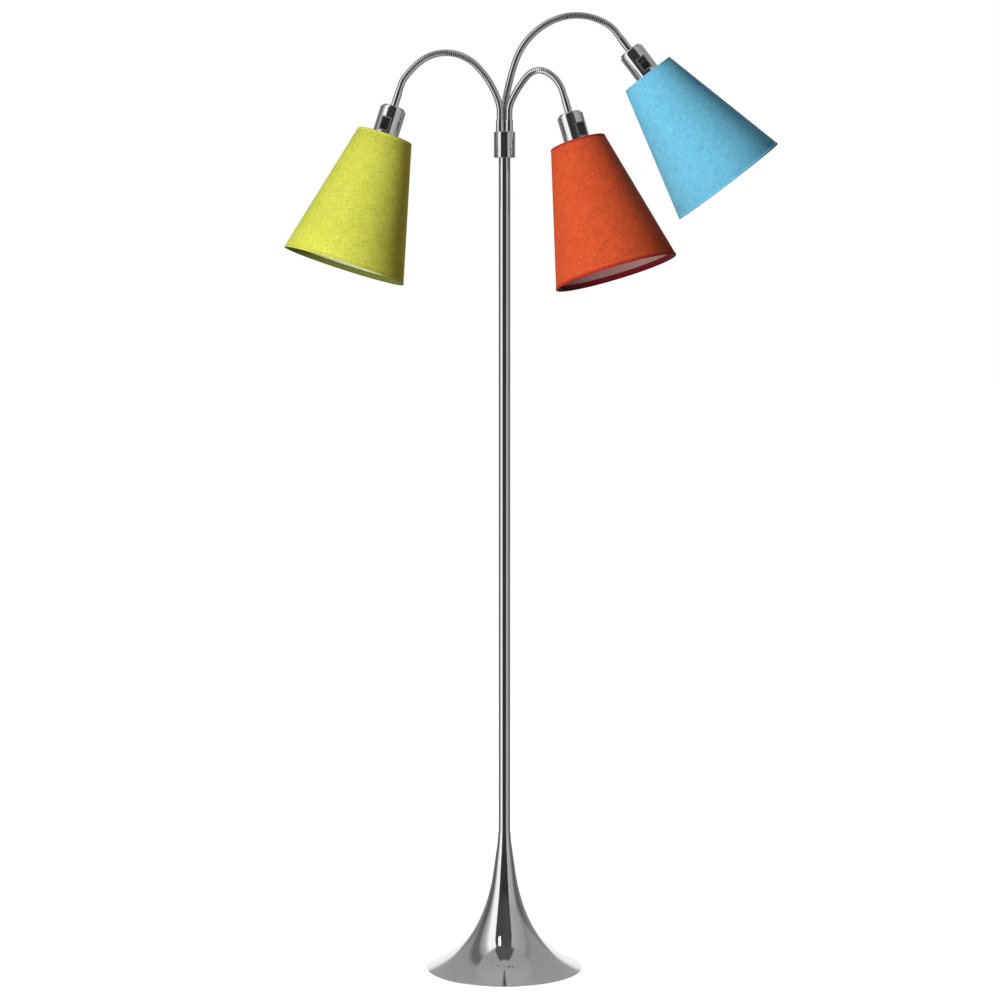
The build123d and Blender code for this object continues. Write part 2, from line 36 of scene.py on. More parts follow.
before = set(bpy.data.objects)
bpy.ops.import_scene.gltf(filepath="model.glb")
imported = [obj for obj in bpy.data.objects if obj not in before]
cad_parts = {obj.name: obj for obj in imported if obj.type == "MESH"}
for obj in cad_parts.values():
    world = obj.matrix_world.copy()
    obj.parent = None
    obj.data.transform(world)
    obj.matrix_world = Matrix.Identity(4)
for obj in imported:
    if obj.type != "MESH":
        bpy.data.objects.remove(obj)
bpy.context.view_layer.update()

# ------------------------------------------------------------------------- camera
# A long lens four metres in front of the stem and a metre up, looking a few degrees down.

camera_place = (-0.007146, -4.150, 1.0707)
camera_pitch = 4.338
camera_lens = 94.08

bpy.ops.object.camera_add(location=camera_place, rotation=(radians(90 - camera_pitch), 0, 0))
camera = bpy.context.object
camera.name = "studio_camera"
camera.data.lens = camera_lens
camera.data.clip_start = 0.1
camera.data.clip_end = 60
bpy.context.scene.camera = camera
bpy.context.scene.view_settings.view_transform = "Standard"

# ------------------------------------------------------------------------- studio
# A white studio. Polished metal sees cards round it: a tall softbox at the left, a dark gap
# where the camera stands, a grey card at the right and a grey ceiling. Cloth is lit by soft
# lamps that the metal doesn't mirror, and the eye sees a white backdrop and a pale floor.
# The key lamp throws no shadows, so one shade doesn't darken the next; the shade inside each
# shade is painted into its turned hem and its lining instead.

# What stands round the lamp, as (bearing, brightness): 0 is the camera, -90 the left.
low_cards = [
    (-180, 1.05), (-156, 1.05), (-150, 0.26), (-126, 0.26), (-117, 0.11), (-102, 0.13),
    (-90, 0.28), (-78, 0.85), (-66, 1.22), (-44, 1.22), (-39, 0.05), (30, 0.035),
    (34, 0.56), (62, 0.50), (76, 0.40), (88, 0.17), (102, 0.13), (117, 0.15),
    (126, 0.26), (150, 0.26), (156, 1.05), (180, 1.05),
]
high_cards = [
    (-180, 0.50), (-150, 0.38), (-128, 0.36), (-118, 0.17), (-104, 0.16), (-96, 0.33),
    (-80, 0.60), (-66, 1.22), (-42, 1.22), (-39, 0.07), (31, 0.09), (34, 0.50),
    (62, 0.44), (84, 0.40), (96, 0.30), (110, 0.36), (150, 0.38), (180, 0.50),
]
ceiling_cards = [
    (-180, 0.46), (-90, 0.40), (-48, 0.40), (-42, 0.11), (42, 0.11), (48, 0.40), (90, 0.40), (180, 0.46),
]
ceiling_grey = 0.42
ground_grey = 0.22

# Between which heights, in degrees, each tier of cards gives way to the one above it.
ground_to_low = (-70, -60)
low_to_high = (14, 22)
high_to_ceiling = (60, 64)
ceiling_to_top = (82, 84)

# A small window high in the dark gap, and the dim room that lights the cloth all round.
window_bearing = -22
window_height = 55
window_width = 12
window_rise = 13
window_light = 1.4
room_grey = 0.14

world = bpy.data.worlds.new("studio")
bpy.context.scene.world = world
world.use_nodes = True
nodes, links = world.node_tree.nodes, world.node_tree.links
nodes.clear()


def maths(tree, operation, *inputs):
    """A Math node with its inputs linked or set."""
    node = tree.nodes.new("ShaderNodeMath")
    node.operation = operation
    for socket, value in zip(node.inputs, inputs):
        if isinstance(value, (int, float)):
            socket.default_value = value
        else:
            tree.links.new(value, socket)
    return node.outputs[0]


def ramp(tree, share, stops):
    """A colour ramp of (place, grey or colour) stops."""
    node = tree.nodes.new("ShaderNodeValToRGB")
    elements = node.color_ramp.elements
    while len(elements) < len(stops):
        elements.new(0.5)
    for element, (place, value) in zip(elements, stops):
        element.position = place
        element.color = (value, value, value, 1) if isinstance(value, (int, float)) else (*value, 1)
    tree.links.new(share, node.inputs[0])
    return node.outputs[0]


def blended(tree, share, first, second):
    """A mix of two colours, linked or set."""
    node = tree.nodes.new("ShaderNodeMix")
    node.data_type = "RGBA"
    for socket_name, value in (("Factor", share), ("A", first), ("B", second)):
        socket = node.inputs[socket_name]
        if isinstance(value, tuple):
            socket.default_value = (*value, 1)
        elif isinstance(value, (int, float)):
            socket.default_value = value
        else:
            tree.links.new(value, socket)
    return node.outputs["Result"]


tree = world.node_tree
direction = nodes.new("ShaderNodeSeparateXYZ")
links.new(nodes.new("ShaderNodeTexCoord").outputs["Generated"], direction.inputs[0])
across, ahead, up = direction.outputs
bearing = maths(tree, "ARCTAN2", across, maths(tree, "MULTIPLY", ahead, -1))
bearing_share = maths(tree, "MULTIPLY_ADD", bearing, 0.5 / pi, 0.5)
height_share = maths(tree, "MULTIPLY_ADD", maths(tree, "ARCSINE", up), 1 / pi, 0.5)


def tier(cards):
    """One ring of cards, as a ramp over the bearing."""
    return ramp(tree, bearing_share, [(0.5 + place / 360, light) for place, light in cards])


def climb(heights):
    """0 below the first height in degrees, 1 above the second."""
    low, high = heights
    return ramp(tree, height_share, [(0.5 + low / 180, 0), (0.5 + high / 180, 1)])


light = blended(tree, climb(ground_to_low), (ground_grey,) * 3, tier(low_cards))
light = blended(tree, climb(low_to_high), light, tier(high_cards))
light = blended(tree, climb(high_to_ceiling), light, tier(ceiling_cards))
light = blended(tree, climb(ceiling_to_top), light, (ceiling_grey,) * 3)
beside = maths(tree, "LESS_THAN", maths(tree, "ABSOLUTE", maths(
    tree, "ADD", bearing, radians(-window_bearing))), radians(window_width / 2))
level = maths(tree, "LESS_THAN", maths(tree, "ABSOLUTE", maths(
    tree, "SUBTRACT", height_share, 0.5 + window_height / 180)), window_rise / 360)
light = blended(tree, maths(tree, "MULTIPLY", beside, level), light, (window_light,) * 3)

cards_light = nodes.new("ShaderNodeBackground")
links.new(light, cards_light.inputs["Color"])
room_light = nodes.new("ShaderNodeBackground")
room_light.inputs["Color"].default_value = (room_grey, room_grey, room_grey, 1)
backdrop = nodes.new("ShaderNodeBackground")
backdrop.inputs["Color"].default_value = (1, 1, 1, 1)
path = nodes.new("ShaderNodeLightPath")
matt = nodes.new("ShaderNodeMixShader")
links.new(path.outputs["Is Diffuse Ray"], matt.inputs["Fac"])
links.new(cards_light.outputs[0], matt.inputs[1])
links.new(room_light.outputs[0], matt.inputs[2])
seen = nodes.new("ShaderNodeMixShader")
links.new(path.outputs["Is Camera Ray"], seen.inputs["Fac"])
links.new(matt.outputs[0], seen.inputs[1])
links.new(backdrop.outputs[0], seen.inputs[2])
links.new(seen.outputs[0], nodes.new("ShaderNodeOutputWorld").inputs["Surface"])

# Soft lamps for the cloth and the floor, all aimed at a point a metre up the stem: bearing,
# height, distance, width, rise and brightness.
lamp_aim = Vector((0, 0, 1))
soft_lamps = {
    "key": (-34, 4, 3.4, 1.2, 1.4, 118),
    "back": (168, 28, 3.2, 2.0, 2.0, 46),
}
for lamp_name, (lamp_bearing, lamp_height, distance, width, tall, power) in soft_lamps.items():
    turn, rise = radians(lamp_bearing), radians(lamp_height)
    out = Vector((sin(turn) * cos(rise), -cos(turn) * cos(rise), sin(rise)))
    bpy.ops.object.light_add(type="AREA", location=out * distance + lamp_aim)
    lamp = bpy.context.object
    lamp.name = f"studio_{lamp_name}"
    lamp.rotation_euler = out.to_track_quat("Z", "Y").to_euler()
    lamp.data.shape = "RECTANGLE"
    lamp.data.size = width
    lamp.data.size_y = tall
    lamp.data.energy = power
    lamp.visible_glossy = False
    lamp.visible_camera = False
    lamp.data.use_shadow = lamp_name != "key"

# A wide pale disc. It glows white, and a little less close round the foot, which paints a faint
# shade round the foot on top of its real contact shadow: (metres from the stem, brightness).
floor_radius = 30
floor_grey = 0.35
floor_glow_and_foot_shade = [(0.12, 0.86), (0.45, 1)]
bpy.ops.mesh.primitive_circle_add(vertices=96, radius=floor_radius, fill_type="NGON", location=(0, 0, 0))
floor = bpy.context.object
floor.name = "studio_floor"
floor.visible_glossy = False
floor.visible_diffuse = False
floor.visible_shadow = False
floor_paint = bpy.data.materials.new("floor_paint")
floor_paint.use_nodes = True
paint_tree = floor_paint.node_tree
paint = paint_tree.nodes["Principled BSDF"]
paint.inputs["Base Color"].default_value = (floor_grey, floor_grey, floor_grey, 1)
paint.inputs["Roughness"].default_value = 0.9
paint.inputs["Specular IOR Level"].default_value = 0
from_stem = paint_tree.nodes.new("ShaderNodeVectorMath")
from_stem.operation = "LENGTH"
paint_tree.links.new(paint_tree.nodes.new("ShaderNodeTexCoord").outputs["Object"], from_stem.inputs[0])
paint.inputs["Emission Strength"].default_value = 1
paint_tree.links.new(
    # The dimmer glow near the stem is painted shade round the foot.
    ramp(paint_tree, from_stem.outputs["Value"], floor_glow_and_foot_shade), paint.inputs["Emission Color"])
floor.data.materials.append(floor_paint)

# ------------------------------------------------------------------------- foot
# The spun steel trumpet on the floor, its cast weight, and the felt under it. It is
# polished and chromed, and screws to the stem from below.

mm = 0.001


def surface(name, colour, metal=0, rough=0.5):
    """A new material with its shader's own colour, metal and roughness set."""
    material = bpy.data.materials.new(name)
    material.use_nodes = True
    shader = material.node_tree.nodes["Principled BSDF"]
    shader.inputs["Base Color"].default_value = (*colour, 1)
    shader.inputs["Metallic"].default_value = metal
    shader.inputs["Roughness"].default_value = rough
    return material, material.node_tree, shader


def noise(tree, scale, detail=2, stretch=(1, 1, 1), source="Object"):
    """A noise over the piece's own coordinates, in cycles per metre."""
    place = tree.nodes.new("ShaderNodeMapping")
    place.inputs["Scale"].default_value = stretch
    tree.links.new(tree.nodes.new("ShaderNodeTexCoord").outputs[source], place.inputs[0])
    node = tree.nodes.new("ShaderNodeTexNoise")
    node.inputs["Scale"].default_value = scale
    node.inputs["Detail"].default_value = detail
    tree.links.new(place.outputs[0], node.inputs["Vector"])
    return node.outputs["Fac"]


def bumped(tree, shader, height, depth):
    """Relief from a height, as deep as depth in metres."""
    node = tree.nodes.new("ShaderNodeBump")
    node.inputs["Distance"].default_value = depth
    tree.links.new(height, node.inputs["Height"])
    tree.links.new(node.outputs[0], shader.inputs["Normal"])


def polished(name, grey, rough, wear):
    """Chrome plate: a mirror with faint clouds of wiping marks in its gloss."""
    material, tree, shader = surface(name, (grey, grey, grey * 1.01), metal=1, rough=rough)
    clouds = noise(tree, 38, 4)
    tree.links.new(ramp(tree, clouds, [(0.35, rough), (0.75, rough + wear)]), shader.inputs["Roughness"])
    return material


def dress(material, *names):
    """Give CAD nodes their finish."""
    for name in names:
        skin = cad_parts[name].data.materials
        skin.clear()
        skin.append(material)


foot_chrome = polished("foot_chrome", 0.74, 0.025, 0.03)
dress(foot_chrome, "base_cover")

cast_iron, tree, shader = surface("weight_iron", (0.1, 0.1, 0.105), metal=0.6, rough=0.7)
bumped(tree, shader, noise(tree, 700, 5), 0.6 * mm)
dress(cast_iron, "base_weight")

felt, tree, shader = surface("pad_felt", (0.03, 0.03, 0.032), rough=0.95)
shader.inputs["Sheen Weight"].default_value = 0.4
bumped(tree, shader, noise(tree, 2400, 6), 0.4 * mm)
dress(felt, "base_pad")

zinc, tree, shader = surface("steel_hardware", (0.55, 0.55, 0.56), metal=1, rough=0.32)
tree.links.new(ramp(tree, noise(tree, 300, 3), [(0.3, 0.25), (0.7, 0.42)]), shader.inputs["Roughness"])
dress(zinc, "base_nut", "base_nipple", "stem_joiner")

gland_plastic, tree, shader = surface("gland_plastic", (0.02, 0.02, 0.022), rough=0.42)
bumped(tree, shader, noise(tree, 1500, 3), 0.05 * mm)
dress(gland_plastic, "cable_gland")

sheath, tree, shader = surface("lead_sheath", (0.03, 0.03, 0.03), rough=0.6)
bumped(tree, shader, noise(tree, 900, 3), 0.05 * mm)
dress(sheath, "supply_lead")

# ------------------------------------------------------------------------- stem
# Two chromed steel tubes, butted on a hidden joiner, and the collar at the top with the
# core that holds the three ferrules.

stem_chrome = polished("stem_chrome", 0.72, 0.03, 0.035)
dress(stem_chrome, "stem_lower", "stem_upper", "hub_collar", "hub_core")

# ------------------------------------------------------------------------- necks
# Each neck is a chromed hose wound from one steel strip, with flat crowns and narrow grooves.
# It turns in its ferrule and bends at three places, so each neck is made as one straight
# winding, cut in three and laid along the arm's line.

ferrule_top = 1356.5 * mm
ferrule_circle = 8.1 * mm
neck_lead_in = 11 * mm
sleeve_length = 24 * mm
neck_radius = 5.6 * mm
groove_depth = 0.4 * mm
pitch = 3.35 * mm
around = 24
ferrule_gap = 0.3 * mm

# One turn of the strip, as (share of the pitch, share of the groove's depth).
rib = [
    (0, 1), (0.05, 1), (0.10, 0.3), (0.17, 0.05), (0.26, 0), (0.42, 0),
    (0.58, 0), (0.74, 0), (0.83, 0.05), (0.90, 0.3), (0.95, 1), (1, 1),
]

# Distances along a neck each side of its hinge.
root_blend = 20 * mm
arch_blend = 34 * mm
tilt_blend = 22 * mm
tilt_tail = 7 * mm

# The ferrule's bearing on the hub, the bearing the arm points along, the bearing the
# switch faces, and the stretches of the neck as (length in mm, turn in degrees).
arms = {
    "left": dict(
        ferrule=210, bearing=192.5, switch=-103,
        root=[(19, 19.5)], rise=[(63.5, 26.5), (71.5, 59)], arch=[(31.5, 26), (31, 12), (13.5, 19)],
    ),
    "right": dict(
        ferrule=330, bearing=-21, switch=-58,
        root=[(19, 26.5)], rise=[(45, 16.5), (15.5, 31.5)], arch=[(18, 39), (45, 49)],
    ),
    "rear": dict(
        ferrule=90, bearing=1.5, switch=-77,
        root=[(19, 9.5)], rise=[(62, 9), (93, 48.5)], arch=[(91.5, 57), (14, 18.5)],
    ),
}


def stretches(arm):
    """Every stretch of a neck, as (length, turn), from its ferrule to the lamp holder."""
    straight = [(neck_lead_in, 0)]
    bent = [(length * mm, radians(turn)) for part in ("root", "rise", "arch") for length, turn in arm[part]]
    return straight + bent + straight + [(sleeve_length, 0)]


def neck_frame(arm, distance):
    """The frame on a neck at a distance along it: X square to the arm, Z along the neck."""
    ferrule, heading_round = radians(arm["ferrule"]), radians(arm["bearing"])
    reach, height, heading = 0, ferrule_top, 0
    for length, turn in stretches(arm):
        step = min(distance, length)
        bend = turn * step / length
        chord = step * sin(bend / 2) / (bend / 2) if bend else step
        reach += chord * sin(heading + bend / 2)
        height += chord * cos(heading + bend / 2)
        heading += bend
        distance -= step
    place = Vector((
        ferrule_circle * cos(ferrule) + reach * cos(heading_round),
        ferrule_circle * sin(ferrule) + reach * sin(heading_round),
        height,
    ))
    along = Vector((sin(heading) * cos(heading_round), sin(heading) * sin(heading_round), cos(heading)))
    side = Vector((-sin(heading_round), cos(heading_round), 0))
    return Matrix.Translation(place) @ Matrix((side, along.cross(side), along)).transposed().to_4x4()


def holder_frame(arm):
    """The frame at the end of a neck, where the lamp holder starts."""
    return neck_frame(arm, sum(length for length, turn in stretches(arm)))


def part_ends(arm):
    """How far along a neck its root, rise and arch end."""
    root_end = neck_lead_in + sum(length for length, turn in arm["root"]) * mm
    rise_end = root_end + sum(length for length, turn in arm["rise"]) * mm
    arch_end = rise_end + sum(length for length, turn in arm["arch"]) * mm + neck_lead_in
    return root_end, rise_end, arch_end


def nothing_selected():
    """Leave edit mode and deselect everything."""
    if bpy.context.object and bpy.context.object.mode != "OBJECT":
        bpy.ops.object.mode_set(mode="OBJECT")
    bpy.ops.object.select_all(action="DESELECT")


def neck_line(side_name, arm):
    """The neck's centreline: one Bezier arc for each stretch."""
    nothing_selected()
    bpy.ops.curve.primitive_bezier_curve_add(location=(0, 0, 0))
    line = bpy.context.object
    line.name = f"{side_name}_line"
    spline = line.data.splines[0]
    line.data.dimensions = "3D"
    line.data.twist_mode = "MINIMUM"
    spline.resolution_u = 48
    pieces = stretches(arm)
    spline.bezier_points.add(len(pieces) - 1)
    for point in spline.bezier_points:
        point.handle_left_type = point.handle_right_type = "FREE"
    distance = 0
    for index, (length, turn) in enumerate([*pieces, (0, 0)]):
        here = neck_frame(arm, distance)
        point = spline.bezier_points[index]
        point.co = here.translation
        along = here.col[2].to_3d()
        handle = 4 / 3 * tan(turn / 4) * length / turn if turn else length / 3
        point.handle_right = point.co + along * handle
        if index == 0:
            point.handle_left = point.co - along * handle
        if index:
            point.handle_left = point.co - along * before
        before = handle
        distance += length
    return line


def winding(name, start, end):
    """A straight length of wound hose up the Z axis, from start to end, both ends closed."""
    nothing_selected()
    bpy.ops.mesh.primitive_plane_add(size=pitch, location=(neck_radius, 0, 0), rotation=(pi / 2, 0, 0))
    hose = bpy.context.object
    hose.name = name
    bpy.ops.object.transform_apply(location=True, rotation=True, scale=True)
    bpy.ops.object.mode_set(mode="EDIT")
    bpy.ops.mesh.select_mode(type="VERT")
    bpy.ops.mesh.select_all(action="DESELECT")
    bpy.ops.object.mode_set(mode="OBJECT")
    for vertex in hose.data.vertices:
        vertex.select = vertex.co.x > neck_radius
    bpy.ops.object.mode_set(mode="EDIT")
    bpy.ops.mesh.delete(type="VERT")
    bpy.ops.mesh.select_all(action="SELECT")
    bpy.ops.mesh.subdivide(number_cuts=len(rib) - 2)
    bpy.ops.object.mode_set(mode="OBJECT")
    base = (start // pitch - 1) * pitch
    for vertex, (share, depth) in zip(sorted(hose.data.vertices, key=lambda v: v.co.z), rib):
        vertex.co = (neck_radius - depth * groove_depth, 0, base + share * pitch)
    wind = hose.modifiers.new("wind", "SCREW")
    wind.axis = "Z"
    wind.screw_offset = pitch
    wind.iterations = int((end - base) / pitch) + 2
    wind.steps = wind.render_steps = around
    wind.use_smooth_shade = True
    bpy.ops.object.modifier_apply(modifier="wind")
    bpy.ops.object.mode_set(mode="EDIT")
    bpy.ops.mesh.select_all(action="SELECT")
    bpy.ops.mesh.remove_doubles(threshold=0.01 * mm)
    for height, above in ((end, True), (start, False)):
        bpy.ops.mesh.select_all(action="SELECT")
        bpy.ops.mesh.bisect(
            plane_co=(0, 0, height), plane_no=(0, 0, 1), use_fill=True,
            clear_outer=above, clear_inner=not above)
    bpy.ops.mesh.select_all(action="SELECT")
    bpy.ops.mesh.normals_make_consistent(inside=False)
    bpy.ops.object.mode_set(mode="OBJECT")
    return hose


def laid(piece, line):
    """Bend a straight piece along the arm's line."""
    nothing_selected()
    piece.select_set(True)
    bpy.context.view_layer.objects.active = piece
    bend = piece.modifiers.new("bend", "CURVE")
    bend.object = line
    bend.deform_axis = "POS_Z"
    bpy.ops.object.modifier_apply(modifier="bend")
    bpy.ops.object.shade_smooth_by_angle(angle=radians(50))
    return piece


neck_steel = polished("neck_steel", 0.72, 0.045, 0.03)
bright_plate = polished("bright_plate", 0.74, 0.03, 0.03)

for side_name, arm in arms.items():
    root_end, rise_end, arch_end = part_ends(arm)
    rise_cut = round((root_end + rise_end) / 2 / pitch) * pitch
    arch_cut = round((rise_end + arch_end) / 2 / pitch) * pitch
    line = neck_line(side_name, arm)
    hoses = [
        ("lower", ferrule_gap, rise_cut, root_end, root_blend, root_blend,
         "root", "rise", ["neck_root", "neck_rise"]),
        ("middle", rise_cut, arch_cut, rise_end, arch_blend, arch_blend,
         "rise", "arch", ["neck_rise"]),
        ("upper", arch_cut, arch_end + tilt_tail, arch_end, tilt_blend, tilt_tail,
         "arch", "head", ["neck_arch"]),
    ]
    for part, start, end, hinge, before, after, first, second, nodes_replaced in hoses:
        hose = laid(winding(f"{side_name}_hose_{part}", start, end), line)
        hose.data.materials.clear()
        hose.data.materials.append(neck_steel)
        neck_frame(arm, hinge - before).translation
        neck_frame(arm, hinge + after).translation
        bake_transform(hose)
        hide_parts(*[f"{side_name}_{node}" for node in nodes_replaced])
    bpy.data.objects.remove(line)
    dress(bright_plate, f"{side_name}_ferrule", f"{side_name}_neck_sleeve")

# ------------------------------------------------------------------------- lamp holders
# A chromed shell with a cap, a black rocker switch in its side, and the socket inside.

rocker_plastic, tree, shader = surface("rocker_black", (0.01, 0.01, 0.011), rough=0.16)
bumped(tree, shader, noise(tree, 1800, 2), 0.015 * mm)
socket_plastic, tree, shader = surface("socket_plastic", (0.03, 0.03, 0.032), rough=0.4)
bumped(tree, shader, noise(tree, 1500, 3), 0.04 * mm)
frame_paint, tree, shader = surface("frame_white", (0.78, 0.78, 0.76), rough=0.38)
bumped(tree, shader, noise(tree, 1200, 2), 0.04 * mm)
screw_shell, tree, shader = surface("bulb_screw", (0.7, 0.7, 0.71), metal=1, rough=0.28)
opal, tree, shader = surface("bulb_opal", (0.9, 0.9, 0.88), rough=0.18)
shader.inputs["Subsurface Weight"].default_value = 0.3
shader.inputs["Subsurface Radius"].default_value = (0.01, 0.01, 0.01)

shell_radius = 21 * mm
body_black = (0.012, 0.012, 0.013)
# The frame's grey is a painted highlight: the frame is black, and the grey stands for light caught on its
# edge.
frame_highlight_grey = 0.10


def switch_frame(name, holder):
    """Black plastic, with a grey frame where the body stands out of the holder's shell: the grey is a
    painted highlight for light caught on the black frame's edge.
    """
    material, tree, shader = surface(name, body_black, rough=0.22)
    place = tree.nodes.new("ShaderNodeMapping")
    place.vector_type = "TEXTURE"
    place.inputs["Location"].default_value = holder.translation
    place.inputs["Rotation"].default_value = holder.to_euler()
    tree.links.new(tree.nodes.new("ShaderNodeTexCoord").outputs["Object"], place.inputs[0])
    flat = tree.nodes.new("ShaderNodeVectorMath")
    flat.operation = "MULTIPLY"
    flat.inputs[1].default_value = (1, 1, 0)
    tree.links.new(place.outputs[0], flat.inputs[0])
    from_axis = tree.nodes.new("ShaderNodeVectorMath")
    from_axis.operation = "LENGTH"
    tree.links.new(flat.outputs[0], from_axis.inputs[0])
    outside = maths(tree, "GREATER_THAN", from_axis.outputs["Value"], shell_radius)
    # Outside the shell the frame takes the painted highlight grey, speckled.
    painted_frame_highlight = ramp(tree, noise(tree, 900, 3), [(0.3, frame_highlight_grey * 0.94), (0.7, frame_highlight_grey)])
    tree.links.new(blended(tree, outside, body_black, painted_frame_highlight), shader.inputs["Base Color"])
    bumped(tree, shader, noise(tree, 2500, 2), 0.02 * mm)
    return material


for side_name, arm in arms.items():
    holder = holder_frame(arm)
    dress(bright_plate, f"{side_name}_holder_cap", f"{side_name}_holder_shell")
    dress(switch_frame(f"{side_name}_switch_frame", holder), f"{side_name}_switch_body")
    dress(rocker_plastic, f"{side_name}_switch_rocker")
    dress(socket_plastic, f"{side_name}_socket", f"{side_name}_shade_clamp")
    dress(frame_paint, f"{side_name}_shade_frame")
    dress(screw_shell, f"{side_name}_bulb_cap")
    dress(opal, f"{side_name}_bulb_globe")

# ------------------------------------------------------------------------- shades
# Each shade is linen on a stiff pale liner, rolled over a wire at both edges, with the rolled
# edge's own cloth turned up inside, and the ends of the cut cloth meeting at one side.

shade_top_depth = 47.3 * mm
shade_height = 213 * mm
shade_top_radius = 43.5 * mm
shade_bottom_radius = 97.5 * mm
shade_wall = 1.2 * mm
hem_fold = 0.7 * mm
hem_height = 8.2 * mm
top_roll = 3.8 * mm
bottom_roll = 4.6 * mm
roll_bulge = 0.4 * mm
crease_depth = 0.3 * mm
crease_width = 0.5 * mm
top_lip = 0.4 * mm
top_shoulder = 1.3 * mm
top_hem_step = 0.3 * mm
bottom_hem_step = 0.9 * mm
turned_margin = 0.8 * mm
hem_margin = 0.2 * mm

# The turned-up cloth over the hoop's wire, in mm: how far up the wall, how far in from it.
wire_wrap = [(0, 2.0), (0.2, 3.8), (1.2, 5.2), (2.6, 5.7), (4.1, 5.2), (5.6, 3.9), (7.2, 2.6), (8.2, 1.9)]
shade_steps = 144
slope = (shade_bottom_radius - shade_top_radius) / shade_height
shade_slant = hypot(1, slope)

# Each cloth's colours, its threads' turn on the cut cloth, how far its tone wanders from
# thread to thread and over the whole cloth, and how far round its ends meet. The turned hems'
# dark colours are painted shade, for the cloth inside the rim lies in shadow; the linings'
# greyed and tinted colours are painted shade and painted light thrown back by the cloth, over
# a pale liner.
linens = {
    "left": dict(
        slot="fabric_green", cloth=(0.605, 0.63, 0.08),
        hem=(0.60, 0.63, 0.10), turned=(0.15, 0.16, 0.03),
        lining=(0.62, 0.62, 0.48), grain=4, threads=0.15, mottle=0.04, seam=75),
    "right": dict(
        slot="fabric_red", cloth=(0.635, 0.090, 0.028),
        hem=(0.46, 0.036, 0.022), turned=(0.13, 0.008, 0.010),
        lining=(0.31, 0.165, 0.165), grain=45, threads=0.19, mottle=0.05, seam=100),
    "rear": dict(
        slot="fabric_blue", cloth=(0.170, 0.55, 0.765),
        hem=(0.185, 0.57, 0.78), turned=(0.05, 0.16, 0.24),
        lining=(0.60, 0.66, 0.68), grain=28, threads=0.15, mottle=0.04, seam=60),
}


def linen(name, cloth, threads, mottle):
    """Plain-woven linen: two sets of uneven threads and slubs on the cloth's own flat pattern."""
    material, tree, shader = surface(name, cloth, rough=0.8)
    shader.inputs["Specular IOR Level"].default_value = 0.06
    warp = noise(tree, 520, 3, (1, 0.14, 1), "UV")
    weft = noise(tree, 520, 3, (0.14, 1, 1), "UV")
    slubs = maths(tree, "ADD", warp, weft)
    patches = noise(tree, 45, 4, (1, 1, 1), "UV")
    tone = maths(tree, "MULTIPLY_ADD", slubs, threads * 4, 1 - threads * 4)
    tone = maths(tree, "ADD", tone, maths(tree, "MULTIPLY_ADD", patches, mottle * 4, -mottle * 2))
    dyed = tree.nodes.new("ShaderNodeVectorMath")
    dyed.operation = "SCALE"
    dyed.inputs[0].default_value = cloth
    tree.links.new(tone, dyed.inputs["Scale"])
    tree.links.new(dyed.outputs[0], shader.inputs["Base Color"])
    shader.inputs["Sheen Weight"].default_value = 0.03
    shader.inputs["Sheen Roughness"].default_value = 0.5
    bumped(tree, shader, slubs, 0.35 * mm)
    return material


def lining(name, colour):
    """The stiff lining: pale film over the back of the cloth, whose threads press through; the colour given
    paints its shade and the cloth's light thrown back on it.
    """
    material, tree, shader = surface(name, colour, rough=0.5)
    threads = noise(tree, 500, 2, (1, 0.1, 1), "UV")
    dull = tuple(0.88 * part for part in colour)
    tree.links.new(ramp(tree, threads, [(0.3, dull), (0.7, colour)]), shader.inputs["Base Color"])
    bumped(tree, shader, threads, 0.1 * mm)
    return material


def shade_outline():
    """The wall's section as (radius, height) points, from inside the top hem round to it again."""
    def at(slant, offset):
        drop = slant / shade_slant
        return shade_top_radius + slope * drop + offset, -shade_top_depth - drop

    length = shade_height * shade_slant
    inner = -shade_wall
    folded = inner - hem_fold
    rolls = []
    for start, sign, roll in ((0, 1, top_roll), (length, -1, bottom_roll)):
        rolls.append([
            at(start + sign * (roll + crease_width), 0),
            at(start + sign * roll, -crease_depth),
            at(start + sign * roll * 0.8, roll_bulge * 0.7),
            at(start + sign * roll * 0.5, roll_bulge),
            at(start + sign * roll * 0.2, roll_bulge * 0.5),
            at(start, -0.5 * shade_wall),
        ])
    top, bottom = rolls
    top += [
        at(top_lip, folded * 0.8), at(top_shoulder, folded),
        at(hem_height, folded), at(hem_height + top_hem_step, inner),
    ]
    bottom += [at(length - up_wall * mm, -inwards * mm) for up_wall, inwards in wire_wrap]
    bottom.append(at(length - hem_height - bottom_hem_step, inner))
    outside = [at(length * share, 0) for share in (0.2, 0.4, 0.6, 0.8)]
    inside = [at(length * share, inner) for share in (0.8, 0.6, 0.4, 0.2)]
    return list(reversed(top)) + outside + bottom + inside


def ring_piece(name, outline, steps):
    """A ring spun from a closed outline of (radius, height) points."""
    nothing_selected()
    bpy.ops.mesh.primitive_circle_add(vertices=len(outline), radius=outline[0][0], calc_uvs=False)
    piece = bpy.context.object
    piece.name = name
    for vertex, (radius, height) in zip(piece.data.vertices, outline):
        vertex.co = (radius, 0, height)
    bpy.ops.object.mode_set(mode="EDIT")
    bpy.ops.mesh.select_all(action="SELECT")
    bpy.ops.mesh.spin(steps=steps, angle=2 * pi, center=(0, 0, 0), axis=(0, 0, 1))
    bpy.ops.mesh.select_all(action="SELECT")
    bpy.ops.mesh.remove_doubles(threshold=0.01 * mm)
    bpy.ops.mesh.normals_make_consistent(inside=False)
    bpy.ops.object.mode_set(mode="OBJECT")
    return piece


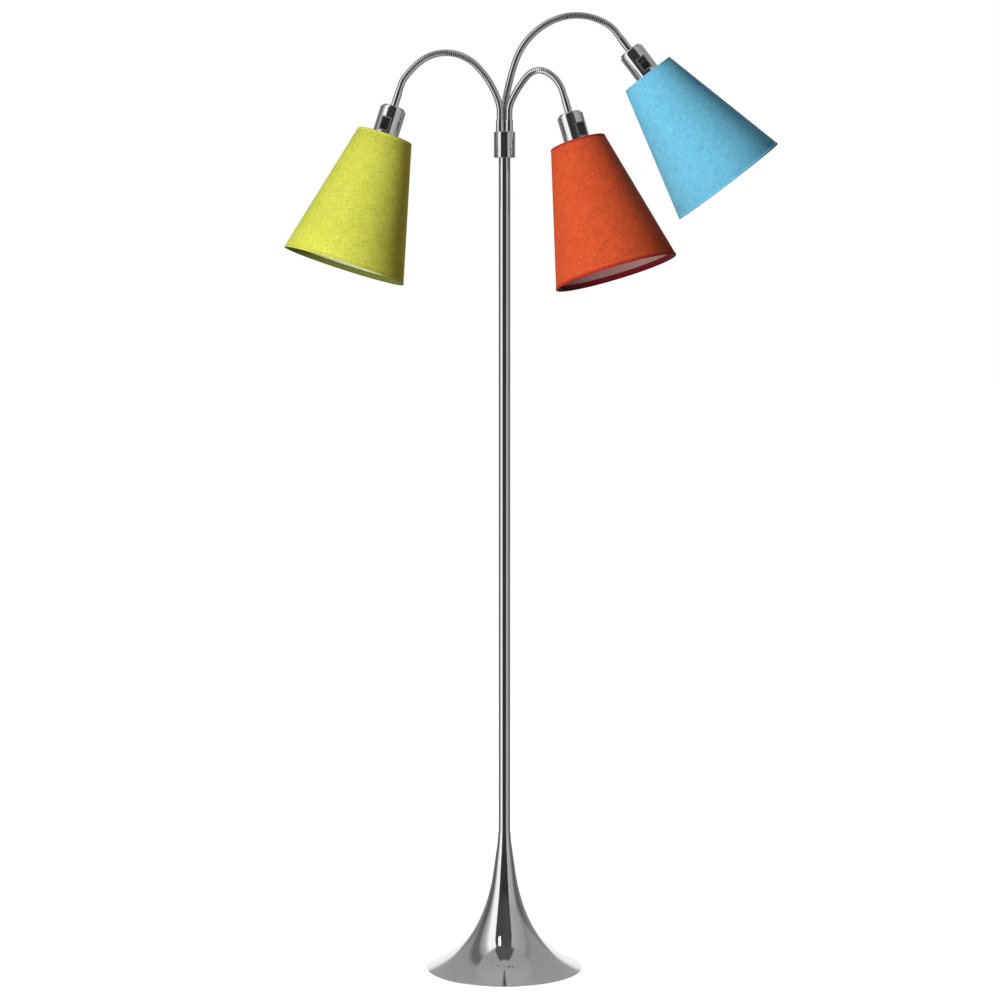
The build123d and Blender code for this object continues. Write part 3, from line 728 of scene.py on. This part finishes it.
def flat_pattern(piece, grain):
    """UVs as the cut cloth lies flat, in metres, turned by the grain."""
    apex = -shade_top_depth + shade_top_radius / slope
    cone = slope / shade_slant
    cut = piece.data.uv_layers.new(name="cut")
    turn = radians(grain)
    for face in piece.data.polygons:
        middle = atan2(face.center.y, face.center.x)
        for corner in face.loop_indices:
            point = piece.data.vertices[piece.data.loops[corner].vertex_index].co
            round_it = atan2(point.y, point.x)
            round_it += 2 * pi * round((middle - round_it) / (2 * pi))
            slant = (apex - point.z) * shade_slant
            across, down = slant * sin(round_it * cone), slant * cos(round_it * cone)
            cut.data[corner].uv = (
                across * cos(turn) - down * sin(turn), across * sin(turn) + down * cos(turn))


def placed(piece, place):
    """Move a finished mesh to its place and leave its object at the origin."""
    piece.data.transform(place)
    piece.data.update()
    return piece


outline = shade_outline()
for side_name, arm in arms.items():
    cloth = linens[side_name]
    holder = holder_frame(arm)
    place = holder @ Matrix.Rotation(pi, 4, "X") @ Matrix.Rotation(radians(cloth["seam"]), 4, "Z")
    shade = ring_piece(f"{side_name}_shade_cloth", outline, shade_steps)
    flat_pattern(shade, cloth["grain"])
    for material in (
        linen(f"{cloth['slot']}_cloth", cloth["cloth"], cloth["threads"], cloth["mottle"]),
        linen(f"{cloth['slot']}_hem", cloth["hem"], cloth["threads"], cloth["mottle"]),
        # The turned hem's dark colour is painted shade.
        linen(f"{cloth['slot']}_turned_hem_painted_shade", cloth["turned"], cloth["threads"], cloth["mottle"]),
        # The lining's colour is painted shade and painted light thrown back by the cloth.
        lining(f"{cloth['slot']}_lining", cloth["lining"]),
    ):
        shade.data.materials.append(material)
    for face in shade.data.polygons:
        slant = (-shade_top_depth - face.center.z) * shade_slant
        wall = shade_top_radius + slope * slant / shade_slant
        inside = hypot(face.center.x, face.center.y) < wall - 0.6 * shade_wall
        from_edge = min(slant, shade_height * shade_slant - slant)
        roll = top_roll if slant < shade_height / 2 else bottom_roll
        if inside:
            face.material_index = 2 if from_edge < hem_height + turned_margin else 3
        else:
            face.material_index = 1 if from_edge < roll + hem_margin else 0
    placed(shade, place)
    nothing_selected()
    shade.select_set(True)
    bpy.context.view_layer.objects.active = shade
    bpy.ops.object.shade_smooth_by_angle(angle=radians(60))
    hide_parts(f"{side_name}_shade", f"{side_name}_shade_hoop")
    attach(shade, f"{side_name}_head")
    shade.visible_glossy = False
